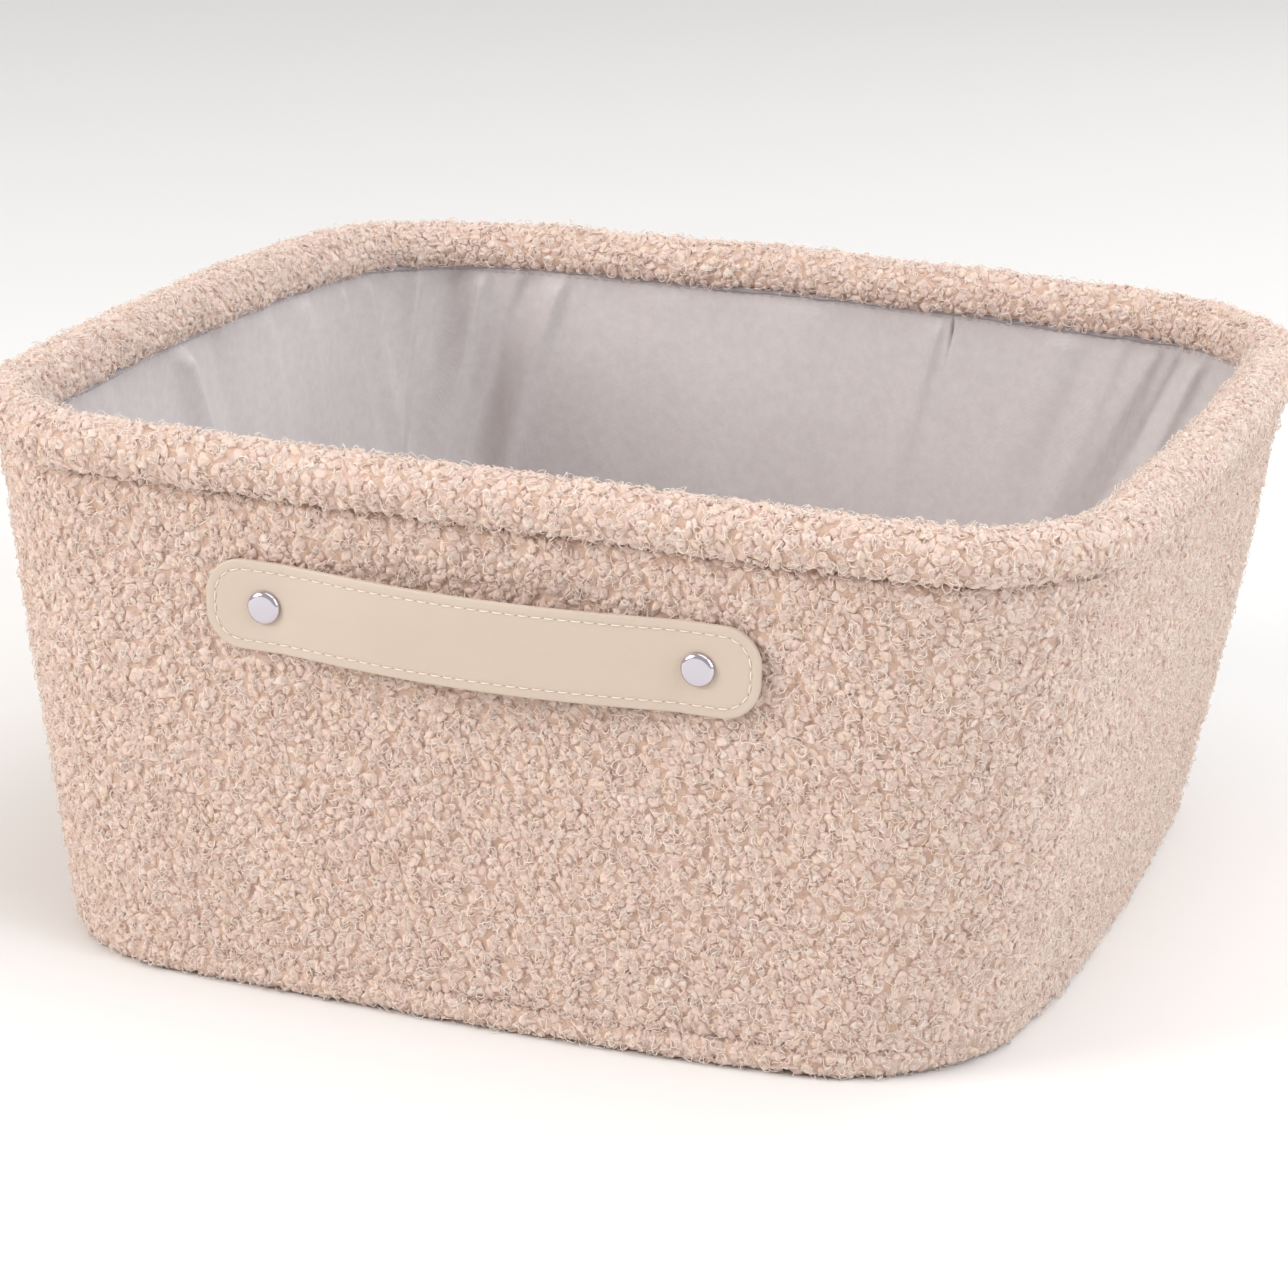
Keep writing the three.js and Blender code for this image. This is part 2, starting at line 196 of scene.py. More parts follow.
def wall_cover(share, t):
    """The wall's face, t up from the floor; creased along its two seams."""
    crease = CREASE(share, t / HEIGHT)
    front = dip(share_apart(share, CREASE_MIDDLE), 0, CREASE_HALF)
    depth = (0.5 + 1.8 * front) * (1 + 0.6 * crease)
    seam = depth * dip(t, BASE_ROLL + 1.4 * crease, 2.2)
    tucked_under = 3.0 * np.clip((7 - t) / 4, 0, 1)
    pinch = 2.6 * dip(t, GROOVE, 1.7) - 0.9 * dip(t, GROOVE - 9, 6)
    return skin(share, t, -1.6 - seam - tucked_under - pinch)


def lengths_along(points):
    """The length from the first of a row of flat points to each of them."""
    return np.concatenate([[0], np.cumsum(np.hypot(*np.diff(points, axis=0).T))])


def smooth_profile(points):
    """A Catmull-Rom curve through [out, z] points: the length up to each of its points, and them."""
    points = np.array(points, float)
    last = len(points) - 1
    k = np.linspace(0, 1, 24, endpoint=False)[:, None]
    spans = []
    for i in range(last):
        a, b, c, d = points[max(i - 1, 0)], points[i], points[i + 1], points[min(i + 2, last)]
        square, cube = 2 * a - 5 * b + 4 * c - d, 3 * b - a - 3 * c + d
        spans.append(0.5 * (2 * b + (c - a) * k + square * k ** 2 + cube * k ** 3))
    curve = np.concatenate(spans + [points[-1:]])
    return lengths_along(curve), curve


def along_profile(profile, t):
    """How far out and how high a profile is at a length along it."""
    lengths, curve = profile
    return np.interp(t, lengths, curve[:, 0]), np.interp(t, lengths, curve[:, 1])


TOP = HEIGHT - 1.4  # top of the hem's cloth under its pile
HEM_PROFILE = smooth_profile([
    (-3.4, GROOVE + 0.5), (0.4, GROOVE + 0.9), (2.9, GROOVE + 2.9), (HEM_PROUD - 0.6, GROOVE + 7.5),
    (3.2, TOP - 4.2), (-0.4, TOP - 0.9), (-4.4, TOP), (-8.4, TOP - 1.1),
    (-12.0, TOP - 4.4), (HEM_INNER, TOP - 8.6), (-12.8, SEAM + 1.8), (-10.4, SEAM + 0.2), (-8.0, SEAM + 0.2),
])
HEM_LENGTH = float(HEM_PROFILE[0][-1])


def hem_cover(share, t):
    """The hem's face, t along its section from the groove over the top to the inner seam."""
    out, z = along_profile(HEM_PROFILE, t)
    sag = SAG(share, np.clip((z - GROOVE) / 20, 0, 1))
    return skin(share, z + 0.5 * sag, out + 0.45 * sag)


# ---- Meshes ----


def add_object(name, data):
    made = bpy.data.objects.new(name, data)
    bpy.context.scene.collection.objects.link(made)
    return made


def make_mesh(name, points, quads, materials, index=None, body=BIN):
    """A smooth piece from points in millimetres and faces of four corners."""
    mesh = bpy.data.meshes.new(name)
    mesh.vertices.add(points.size // 3)
    mesh.vertices.foreach_set("co", (points * MM).astype(np.float32).ravel())
    quads = np.asarray(quads, dtype=np.int32)
    mesh.loops.add(quads.size)
    mesh.loops.foreach_set("vertex_index", quads.ravel())
    mesh.polygons.add(len(quads))
    mesh.polygons.foreach_set("loop_start", np.arange(0, quads.size, quads.shape[1], dtype=np.int32))
    for material in materials:
        mesh.materials.append(material)
    if index is not None:
        mesh.polygons.foreach_set("material_index", np.asarray(index, dtype=np.int32))
    mesh.update(calc_edges=True)
    mesh.polygons.foreach_set("use_smooth", np.full(len(quads), True))
    piece = add_object(name, mesh)
    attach(piece, body)
    return piece


def grid_quads(rows, columns, ring=True):
    """Faces over points in rows; a ring's last column joins its first."""
    i = np.arange(rows - 1)[:, None]
    j = np.arange(columns if ring else columns - 1)[None, :]
    k = (j + 1) % columns
    a, b, c, d = i * columns + j, i * columns + k, (i + 1) * columns + k, (i + 1) * columns + j
    return np.stack([a, b, c, d], axis=-1).reshape(-1, 4)


def loop_quads(rows, columns, ring=True):
    """As grid_quads, with the last row joined to the first."""
    quads = grid_quads(rows + 1, columns, ring)
    return np.where(quads >= rows * columns, quads - rows * columns, quads)


def cap_quads(first, columns):
    """Faces that close a ring of an even number of points."""
    i = first + np.arange(columns // 2 - 1)
    j = 2 * first + columns - 1 - i
    return np.stack([i, i + 1, j - 1, j], axis=-1)


def full_turn(steps):
    return np.linspace(0, 2 * np.pi, steps, endpoint=False)


def unit(vectors):
    return vectors / np.linalg.norm(vectors, axis=-1, keepdims=True)


def tubes(path, across, thick, sides):
    """Points (tube, along, round) round paths; `across` is a direction that crosses each."""
    tangent = unit(np.gradient(path, axis=1))
    side = unit(np.cross(tangent, across))[:, :, None]
    other = np.cross(side, tangent[:, :, None])
    around = full_turn(sides)[:, None] + np.pi / 4
    return path[:, :, None] + thick[..., None] * (side * np.cos(around) + other * np.sin(around))


def frames(cover, share, t):
    """Points of a cover with unit vectors along it, up it and out of it."""
    step = 0.7
    here = cover(share, t)
    along = cover(share + step / ROUND, t) - cover(share - step / ROUND, t)
    up = cover(share, t + step) - cover(share, t - step)
    out = unit(np.cross(along, up))
    along = unit(along)
    return here, along, np.cross(out, along), out


# ---- Materials ----


def new_material(name, color, roughness, **sockets):
    """A material with its node tree and its shader; sockets are named with _ for a space."""
    material = bpy.data.materials.new(name)
    material.use_nodes = True
    shader = material.node_tree.nodes["Principled BSDF"]
    shader.inputs["Base Color"].default_value = (*color, 1)
    shader.inputs["Roughness"].default_value = roughness
    for key, value in sockets.items():
        shader.inputs[key.replace("_", " ")].default_value = value
    return material, material.node_tree, shader


def srgb(*display):
    """Linear colour from 0-255 display values."""
    shares = [value / 255 for value in display]
    return tuple(c / 12.92 if c <= 0.04045 else ((c + 0.055) / 1.055) ** 2.4 for c in shares)


def node(tree, kind, **values):
    """A node; each value goes to the socket of that name, or else to the property."""
    made = tree.nodes.new(kind)
    for key, value in values.items():
        if key in made.inputs:
            made.inputs[key].default_value = value
        else:
            setattr(made, key, value)
    return made


def texture(tree, kind, **values):
    """A texture node in the object's own space."""
    place = node(tree, "ShaderNodeTexCoord")
    made = node(tree, kind, **values)
    tree.links.new(place.outputs["Object"], made.inputs["Vector"])
    return made


def noise_texture(tree, **values):
    return texture(tree, "ShaderNodeTexNoise", **values).outputs["Fac"]


def maths(tree, operation, *values):
    """A maths node's output; each value is a number or another output."""
    made = node(tree, "ShaderNodeMath", operation=operation)
    for socket, value in zip(made.inputs, values):
        if isinstance(value, float):
            socket.default_value = value
        else:
            tree.links.new(value, socket)
    return made.outputs[0]


def add_tint(tree, shader, source, low, high):
    """Base colour that goes from one colour to another; each end is a position and a colour."""
    ramp = node(tree, "ShaderNodeValToRGB")
    for element, (position, color) in zip(ramp.color_ramp.elements, (low, high)):
        element.position = position
        element.color = (*color, 1)
    tree.links.new(source, ramp.inputs["Fac"])
    tree.links.new(ramp.outputs["Color"], shader.inputs["Base Color"])


def add_bump(tree, shader, height, strength, distance):
    bump = node(tree, "ShaderNodeBump", Strength=strength, Distance=distance)
    tree.links.new(height, bump.inputs["Height"])
    tree.links.new(bump.outputs["Normal"], shader.inputs["Normal"])


def yarn_material(name, color):
    """Soft matt yarn that lets a little light through, with a fuzz of fibres."""
    material, tree, shader = new_material(
        name, color, 0.9, Sheen_Weight=0.75, Sheen_Roughness=0.3, Sheen_Tint=(1, 0.95, 0.92, 1),
        Specular_IOR_Level=0.2, Subsurface_Weight=0.3, Subsurface_Radius=(1, 1, 1), Subsurface_Scale=0.0006,
    )
    add_bump(tree, shader, noise_texture(tree, Scale=3200.0, Detail=2.0), 0.35, 0.0004)
    return material


def ground_material(name, deep, pale):
    """The cloth under the pile, darker than the yarn as painted shade where it shows in the pile's crevices;
    a noise of about the lumps' size mottles it from the darker colour to the paler.
    """
    material, tree, shader = new_material(
        name, pale, 0.95, Sheen_Weight=0.3, Sheen_Roughness=0.5, Specular_IOR_Level=0.15
    )
    lumps = noise_texture(tree, Scale=260.0, Detail=4.0, Roughness=0.6)
    add_tint(tree, shader, lumps, (0.34, deep), (0.62, pale))
    add_bump(tree, shader, noise_texture(tree, Scale=1500.0, Detail=3.0), 0.6, 0.001)
    return material


YARNS = [yarn_material(name, srgb(*color)) for name, color in (
    ("yarn_beige", (227, 203, 190)),
    ("yarn_pink_beige", (223, 199, 187)),
    ("yarn_warm", (229, 205, 189)),
    ("yarn_rose", (220, 193, 182)),
    ("yarn_pale", (231, 211, 200)),
    ("strand_pale", (250, 233, 219)),
    ("strand_warm", (243, 218, 201)),
)]
# painted shade: the ground's colours are darker than the yarn's to stand in for the shade in the crevices
# between the puffs
PILE_GROUND = ground_material("pile_ground", srgb(204, 172, 154), srgb(218, 190, 172))


def flat_pile_material():
    """Pile pressed flat under the base: low crowded nubs, with painted shade as darker lines between them.
    """
    pale, dark = srgb(216, 192, 177), srgb(176, 146, 130)
    material, tree, shader = new_material("pile_flat", pale, 0.95, Sheen_Weight=0.3, Sheen_Roughness=0.4)
    nubs = texture(tree, "ShaderNodeTexVoronoi", Scale=290.0, feature="SMOOTH_F1", Smoothness=0.35)
    # painted shade: the darker colour towards each cell's edge stands in for the shade between the nubs
    add_tint(tree, shader, nubs.outputs["Distance"], (0.25, pale), (0.75, dark))
    add_bump(tree, shader, nubs.outputs["Distance"], 0.7, -0.0012)
    return material


PILE_FLAT = flat_pile_material()
THREAD = 0.0005  # metres from one thread of the lining to the next


def woven_material(name, color, dark):
    """Plain-woven cloth: fine crossed threads, uneven in thickness, and a soft mottle."""
    material, tree, shader = new_material(
        name, color, 0.8, Sheen_Weight=0.15, Sheen_Roughness=0.5, Specular_IOR_Level=0.25
    )
    place = node(tree, "ShaderNodeTexCoord")
    axes = node(tree, "ShaderNodeSeparateXYZ")
    tree.links.new(place.outputs["Object"], axes.inputs[0])
    waves = []
    for axis in axes.outputs:
        wave = maths(tree, "SINE", maths(tree, "MULTIPLY", axis, math.pi / THREAD))
        waves.append(maths(tree, "MULTIPLY", wave, wave))
    threads = maths(tree, "ADD", maths(tree, "ADD", waves[0], waves[1]), waves[2])
    slub = noise_texture(tree, Scale=900.0, Detail=3.0)
    mottle = noise_texture(tree, Scale=240.0, Detail=5.0, Roughness=0.7)
    add_tint(tree, shader, mottle, (0.35, dark), (0.65, color))
    add_bump(tree, shader, maths(tree, "MULTIPLY_ADD", threads, 0.4, slub), 0.3, 0.0003)
    return material


LINING_CLOTH = woven_material("lining_cloth", srgb(208, 200, 199), srgb(200, 192, 190))
PIPING_CLOTH = woven_material("lining_edge_cloth", srgb(188, 180, 182), srgb(172, 164, 167))


def leather_material(name, color, deep):
    """Imitation leather: smooth, with fine pebbled grain and a faint change of tone."""
    material, tree, shader = new_material(name, color, 0.42, Specular_IOR_Level=0.45)
    tone = noise_texture(tree, Scale=22.0, Detail=4.0, Roughness=0.55)
    add_tint(tree, shader, tone, (0.3, deep), (0.7, color))
    grain = texture(tree, "ShaderNodeTexVoronoi", Scale=900.0, feature="DISTANCE_TO_EDGE")
    add_bump(tree, shader, maths(tree, "MINIMUM", grain.outputs["Distance"], 0.12), 0.25, 0.0006)
    return material


STRAP_FACE = leather_material("strap_face", srgb(204, 187, 171), srgb(200, 182, 166))
STRAP_BACK = leather_material("strap_back", srgb(218, 202, 183), srgb(208, 190, 168))


def thread_material(name, color):
    material, tree, shader = new_material(name, color, 0.6, Sheen_Weight=0.3)
    add_bump(tree, shader, noise_texture(tree, Scale=4000.0, Detail=2.0), 0.5, 0.0003)
    return material


CREAM_THREAD = thread_material("thread_cream", srgb(238, 226, 212))
# painted shade: a dark thread colour that stands in for the shade in each needle hole
PAINTED_HOLE_SHADE = thread_material("painted_hole_shade", srgb(168, 146, 124))
GREY_THREAD = thread_material("thread_grey", srgb(196, 188, 188))


def metal_material(name, color, roughness, spread):
    """Metal whose polish varies a little, by `spread` to either side."""
    material, tree, shader = new_material(name, color, roughness, Metallic=1.0)
    polish = node(tree, "ShaderNodeMapRange")
    polish.inputs["To Min"].default_value = roughness - spread
    polish.inputs["To Max"].default_value = roughness + spread
    tree.links.new(noise_texture(tree, Scale=900.0, Detail=4.0), polish.inputs["Value"])
    tree.links.new(polish.outputs["Result"], shader.inputs["Roughness"])
    return material


CHROME = metal_material("rivet_chrome", srgb(206, 200, 208), 0.14, 0.05)
STEEL = metal_material("wire_steel", srgb(168, 168, 170), 0.38, 0.1)


def mottled_material(name, color, dark, roughness, scale, bump):
    material, tree, shader = new_material(name, color, roughness)
    mottle = noise_texture(tree, Scale=scale, Detail=6.0, Roughness=0.65)
    add_tint(tree, shader, mottle, (0.35, dark), (0.65, color))
    add_bump(tree, shader, mottle, bump, 0.0004)
    return material


CARDBOARD = mottled_material("grey_board", srgb(186, 170, 146), srgb(168, 152, 128), 0.9, 420.0, 0.3)
FOAM = mottled_material("edging_foam", srgb(233, 230, 224), srgb(214, 210, 202), 0.95, 1400.0, 0.8)

# ---- Looped pile ----

PITCH = 3.35  # distance between nubs
JITTER = 0.44  # share of the pitch that a nub may stray
NUB_RADIUS = (0.54, 0.84)  # of the pitch
NUB_HEIGHT = (0.8, 1.7)
CLOTH_STEP = 1.9  # between the points of the cloth under the pile


class Nubs:
    """Nubs in jittered rows over a cover, from `low` to `high` along it."""

    def __init__(self, seed, low, high):
        rng = np.random.default_rng(seed)
        self.low = low
        self.rows = max(2, int(round((high - low) / (PITCH * 0.87))))
        self.row = (high - low) / self.rows
        self.columns = int(round(ROUND / PITCH))
        shape = (self.rows, self.columns)
        j, i = np.meshgrid(np.arange(self.rows), np.arange(self.columns), indexing="ij")
        jitter = rng.uniform(-JITTER, JITTER, (2, *shape))
        self.share = (i + 0.5 + 0.5 * (j % 2) + jitter[0]) / self.columns % 1.0
        self.t = low + (j + 0.5 + jitter[1]) * self.row
        self.radius = PITCH * rng.uniform(*NUB_RADIUS, shape)
        self.height = rng.uniform(*NUB_HEIGHT, shape)

    def bump(self, share, t):
        """Height of the lumps at a place."""
        best = np.zeros(np.broadcast(share, t).shape)
        row = np.floor((t - self.low) / self.row).astype(int)
        for dj in (-1, 0, 1):
            j = row + dj
            inside = (j >= 0) & (j < self.rows)
            j = np.clip(j, 0, self.rows - 1)
            column = np.floor((share % 1.0) * self.columns - 0.5 * (j % 2)).astype(int)
            for di in (-1, 0, 1):
                i = (column + di) % self.columns
                across = share_apart(share, self.share[j, i]) * ROUND
                q = (across ** 2 + (t - self.t[j, i]) ** 2) / self.radius[j, i] ** 2
                lump = self.height[j, i] * np.sqrt(np.clip(1 - q, 0, 1)) * inside
                best = np.maximum(best, lump)
        return best


def cloth_points(cover, nubs, low, high, raised):
    """Rows of points of a cover, lifted by a share of the nubs' height."""
    rows = int(round((high - low) / CLOTH_STEP)) + 1
    columns = int(round(ROUND / CLOTH_STEP))
    share, t = np.meshgrid(np.arange(columns) / columns, np.linspace(low, high, rows))
    here, _, _, out = frames(cover, share, t)
    return here + out * (nubs.bump(share, t) * raised(t))[..., None]


def pile_cloth(name, cover, nubs, low, high, replaced):
    """The ground cloth, raised into lumps where the nubs are."""
    points = cloth_points(cover, nubs, low, high, lambda t: 0.5)
    rows, columns, _ = points.shape
    piece = make_mesh(name, points, grid_quads(rows, columns), [PILE_GROUND])
    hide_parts(replaced)
    return piece


def curls(nubs, cover, rng, loop_radius, yarn, turns, rise, segments, sides, keep, tilt, spread):
    """Tubes of yarn, `keep` to a nub: shares, and points (curl, along, round) in millimetres."""
    share, t = nubs.share.ravel(), nubs.t.ravel()
    chosen = np.repeat(np.arange(share.size), np.floor(keep + rng.random(share.size)).astype(int))
    n = chosen.size
    share = share[chosen] + rng.normal(0, spread, n) / ROUND
    t = t[chosen] + rng.normal(0, spread, n)
    here, along, up, out = frames(cover, share, t)
    lump = nubs.bump(share, t)
    size = rng.uniform(*loop_radius, n)[:, None]
    thick = rng.uniform(*yarn, n)[:, None, None]
    sweep = rng.uniform(*turns, n)[:, None] * np.pi * rng.choice([-1, 1], n)[:, None]
    start = rng.uniform(0, 2 * np.pi, n)[:, None]
    k = np.linspace(0, 1, segments)[None, :]
    angle = start + sweep * k
    r = size * (1 + 0.22 * np.sin(3 * np.pi * k + start))
    lift = rng.uniform(*rise, n)[:, None] * np.sin(np.pi * k) ** 0.7 - 0.35
    # the loop's own plane leans by a random amount in a random direction
    lean = rng.uniform(0, tilt, n)[:, None]
    way = rng.uniform(0, 2 * np.pi, n)[:, None]
    s, w = turned(r * np.cos(angle), r * np.sin(angle), -way)
    x0, y0 = turned(s, w * np.cos(lean), way)
    z0 = w * np.sin(lean) + lift
    path = (
        here[:, None] + along[:, None] * x0[..., None] + up[:, None] * y0[..., None]
        + out[:, None] * (z0 + lump[:, None] * 0.85)[..., None]
    )
    nx, ny, nz = np.sin(lean) * np.sin(way), -np.sin(lean) * np.cos(way), np.cos(lean)
    across = (along * nx + up * ny + out * nz)[:, None]
    taper = (0.45 + 0.55 * np.sin(np.pi * k) ** 0.5)[..., None]
    return share, tubes(path, across, thick * taper, sides)


def turned(x, y, angle):
    c, s = np.cos(angle), np.sin(angle)
    return x * c - y * s, x * s + y * c


def repeat_quads(one, grid):
    """One shape's faces for each of the many alike whose points are in a grid."""
    points = math.prod(grid.shape[1:-1])
    offset = (np.arange(len(grid)) * points)[:, None, None]
    return (np.array(one)[None] + offset).reshape(-1, 4)


PUFF_SIDES = 6
PUFF_RINGS = np.array([(1.0, -0.35), (0.92, 0.4), (0.62, 0.84), (0.22, 0.97)])  # [spread, height]


def puffs(nubs, cover, rng, size=1.0, keep=1.0, stray=0.0, raised=0.0):
    """Rounded, uneven lumps of gathered yarn: shares, and points (puff, ring, round)."""
    share, t = nubs.share.ravel(), nubs.t.ravel()
    chosen = rng.random(share.size) < keep
    n = int(chosen.sum())
    share = share[chosen] + stray * rng.uniform(-1, 1, n) / ROUND
    t = t[chosen] + stray * rng.uniform(-1, 1, n)
    here, along, up, out = (v[:, None, None] for v in frames(cover, share, t))
    wide = nubs.radius.ravel()[chosen][:, None, None] * size
    slim = wide * rng.uniform(0.62, 1.0, n)[:, None, None]
    tall = nubs.height.ravel()[chosen][:, None, None] * (0.4 + 0.6 * size)
    turn = rng.uniform(0, np.pi, n)[:, None, None]
    phase = rng.uniform(0, 2 * np.pi, (4, n))[..., None, None]
    angle = full_turn(PUFF_SIDES)[None, None, :]
    spread, height = PUFF_RINGS[None, :, 0, None], PUFF_RINGS[None, :, 1, None]
    uneven = (
        1 + 0.2 * np.sin(2 * angle + phase[0] + height) + 0.14 * np.sin(3 * angle + phase[1] - 2 * height)
    )
    x, y = wide * spread * uneven * np.cos(angle), slim * spread * uneven * np.sin(angle)
    x, y = turned(x, y, turn)
    lean = rng.uniform(-0.4, 0.4, (2, n))[..., None, None]
    hollow = rng.uniform(0.0, 0.6, n)[:, None, None] * np.clip(1 - spread * 1.6, 0, 1)
    ripple = (0.16 * np.sin(angle + phase[2]) + 0.14 * np.sin(3 * angle + phase[3])) * (height > 0)
    z = tall * (height - hollow + ripple) + lean[0] * x + lean[1] * y + raised
    points = here + along * x[..., None] + up * y[..., None] + out * z[..., None]
    return share, points


def puff_quads():
    """Faces of a puff; each six-cornered end takes two faces of four corners."""
    one = grid_quads(len(PUFF_RINGS), PUFF_SIDES).tolist()
    last = (len(PUFF_RINGS) - 1) * PUFF_SIDES
    for corners in ((0, 1, 2, 3), (0, 3, 4, 5)):
        one += [[last + corner for corner in corners], corners[::-1]]
    return one


def tube_quads(segments, sides=4):
    """Faces of a tube: a four-sided end is closed, a three-sided one is too fine to show."""
    one = grid_quads(segments, sides).tolist()
    if sides == 4:
        last = (segments - 1) * 4
        one += [(3, 2, 1, 0), (last, last + 1, last + 2, last + 3)]
    return one


# two layers of puffs, then thick curls and fine strands: how each is made, and its yarns' odds
PUFF_KINDS = (dict(), dict(size=0.66, keep=0.6, stray=1.7, raised=0.3))
PUFF_ODDS = (0.3, 0.28, 0.2, 0.12, 0.1, 0, 0)
CURL_KINDS = (
    dict(loop_radius=(0.8, 1.6), yarn=(0.16, 0.34), turns=(0.9, 1.7), rise=(0.4, 1.2), segments=7, sides=4,
         keep=0.42, tilt=0.6, spread=1.1),
    dict(loop_radius=(1.0, 2.3), yarn=(0.11, 0.19), turns=(0.6, 1.3), rise=(0.9, 2.1), segments=7, sides=3,
         keep=1.25, tilt=0.5, spread=1.2),
)
CURL_ODDS = ((0.25, 0.25, 0.2, 0.05, 0.25, 0, 0), (0, 0, 0, 0, 0, 0.5, 0.5))
LOWEST = 0.15  # the pile is pressed flat on the floor


def pile(prefix, cover, nubs, seed, sectors):
    """Puffs, loops and fine strands over a cover, in one piece per sector of the way round."""
    rng = np.random.default_rng(seed)
    groups = []
    for kind in PUFF_KINDS:
        share, points = puffs(nubs, cover, rng, **kind)
        groups.append((share, points, rng.choice(len(YARNS), share.size, p=PUFF_ODDS), puff_quads()))
    for kind, odds in zip(CURL_KINDS, CURL_ODDS):
        share, points = curls(nubs, cover, rng, **kind)
        faces = tube_quads(kind["segments"], kind["sides"])
        groups.append((share, points, rng.choice(len(YARNS), share.size, p=odds), faces))
    made = []
    for sector in range(sectors):
        points, quads, index, count = [], [], [], 0
        for share, grid, shade, faces in groups:
            mine = np.floor((share % 1.0) * sectors).astype(int) == sector
            points.append(grid[mine].reshape(-1, 3))
            quads.append(repeat_quads(faces, grid[mine]) + count)
            index.append(np.repeat(shade[mine], len(faces)))
            count += len(points[-1])
        points = np.concatenate(points)
        points[:, 2] = np.maximum(points[:, 2], LOWEST)
        name = f"{prefix}_{sector + 1}"
        made.append(make_mesh(name, points, np.concatenate(quads), YARNS, np.concatenate(index)))
    return made


wall_nubs = Nubs(21, 8.2, GROOVE - 0.4)
wall_cloth = pile_cloth("wall_cloth", wall_cover, wall_nubs, 2.5, GROOVE + 2.0, "outer_wall")
wall_pile = pile("wall_pile", wall_cover, wall_nubs, 22, 20)

hem_nubs = Nubs(31, 3.0, HEM_LENGTH - 3.5)
hem_cloth = pile_cloth("hem_cloth", hem_cover, hem_nubs, 0.0, HEM_LENGTH, "rim_hem")
hem_pile = pile("hem_pile", hem_cover, hem_nubs, 32, 6)

# ---- Base ----

BASE_PROFILE = smooth_profile([
    (-6.4, 9.6), (-3.6, 9.3), (-2.0, 8.2), (-1.3, 5.8), (-1.9, 3.1), (-4.0, 1.3), (-7.5, 0.5), (-14.0, 0.35),
])
BASE_EDGE = float(BASE_PROFILE[0][-1])


def base_cover(share, t):
    """The base's rolled edge, t along its section from the underside up to the seam."""
    out, z = along_profile(BASE_PROFILE, BASE_EDGE - t)
    return skin(share, z, out)


def base_cloth():
    """The rolled edge with its lumps, and the flat underside drawn in to the middle."""
    nubs = Nubs(41, 6.0, BASE_EDGE - 2.6)
    rolled = cloth_points(base_cover, nubs, 0, BASE_EDGE, lambda t: 0.8 * np.clip((t - 5) / 4, 0, 1))
    rolled[..., 2] = np.maximum(rolled[..., 2], 0.12)
    press = smooth_noise(43, 90, 40)
    under = []
    for k in np.linspace(0.0, 1.0, 32)[1:-1]:
        ring = rolled[0] * np.array([k, k, 1.0])
        around = np.arctan2(ring[:, 1], ring[:, 0]) / (2 * np.pi)
        ring[:, 2] = 0.35 + 0.25 * press(around, np.full_like(around, k))
        under.append(ring)
    # from a small ring at the middle out to the edge, and up it
    points = np.concatenate([np.stack(under), rolled])
    rows, columns, _ = points.shape
    middle = cap_quads(0, columns)[:, ::-1]
    quads = np.concatenate([grid_quads(rows, columns), middle])
    pressed = np.arange(len(quads)) < (len(under) + 4) * columns
    pressed[-len(middle):] = True
    piece = make_mesh("base_cloth", points, quads, [PILE_GROUND, PILE_FLAT], index=pressed)
    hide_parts("outer_base")
    pile("base_pile", base_cover, nubs, 44, 2)


base_cloth()

# ---- Inside the wall ----


def ribbon(name, profile, replaced, material, start=0.0, end=1.0, columns=420):
    """A closed [out, z] profile swept along the wall, all the way round or between two shares."""
    ring = end - start >= 1.0
    share = np.linspace(start, end, columns, endpoint=not ring)
    points = np.stack([skin(share, np.full_like(share, z), out) for out, z in profile])
    quads = loop_quads(len(profile), columns, ring)
    piece = make_mesh(name, points, quads, [material])
    if not ring:
        close_ends(piece)
    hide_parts(replaced)
    return piece


def close_ends(piece):
    """Faces over a piece's open ends, with every face turned outwards."""
    shape = bmesh.new()
    shape.from_mesh(piece.data)
    open_edges = [e for e in shape.edges if e.is_boundary]
    bmesh.ops.holes_fill(shape, edges=open_edges, sides=0)
    bmesh.ops.recalc_face_normals(shape, faces=shape.faces)
    shape.to_mesh(piece.data)
    shape.free()


def board_profile(low, high, outer, inner):
    """A tall closed profile with a few points up each face."""
    z = np.linspace(low, high, 6)
    return [(outer, q) for q in z] + [(inner, q) for q in z[::-1]]


BOARD_OUTER, BOARD_INNER = -4.3, -6.3
BOARD_GAP = 0.002  # of a side, between a board's end and the corner's middle
for number, side in enumerate(("right", "back", "left", "front")):
    places = [(number + corner) % 4 for corner in (-0.25 + BOARD_GAP, 0.75 - BOARD_GAP)]
    first, last = (float(np.interp(place, PLACES, SHARES)) for place in places)
    if first > last:
        first -= 1
    ribbon(f"{side}_board_card", board_profile(9.3, HEIGHT - 11.9, BOARD_OUTER, BOARD_INNER),
           f"{side}_board", CARDBOARD, first, last, columns=120)


FOAM_OUTER, FOAM_INNER, FOAM_THICKNESS = 1.2, -10.2, 1.8
FOAM_LOW, FOAM_TOP, FOAM_SHOULDER = GROOVE + 2.4, HEIGHT - 4.8, 4.4


def hood_profile():
    """The foam edging's section: two legs joined over the top, by arcs at its shoulders."""
    z = FOAM_TOP - FOAM_SHOULDER
    outer_middle, inner_middle = FOAM_OUTER - FOAM_SHOULDER, FOAM_INNER + FOAM_SHOULDER
    outer_turn = np.radians(np.linspace(180, 90, 6))
    inner_turn = outer_turn - math.pi / 2

    def arc(middle, radius, turn):
        return [(middle - radius * math.cos(a), z + radius * math.sin(a)) for a in turn]

    hollow = FOAM_SHOULDER - FOAM_THICKNESS
    return [
        (FOAM_OUTER, FOAM_LOW),
        *arc(outer_middle, FOAM_SHOULDER, outer_turn),
        *arc(inner_middle, FOAM_SHOULDER, inner_turn[::-1]),
        (FOAM_INNER, FOAM_LOW),
        (FOAM_INNER + FOAM_THICKNESS, FOAM_LOW),
        *arc(inner_middle, hollow, inner_turn),
        *arc(outer_middle, hollow, outer_turn[::-1]),
        (FOAM_OUTER - FOAM_THICKNESS, FOAM_LOW),
    ]


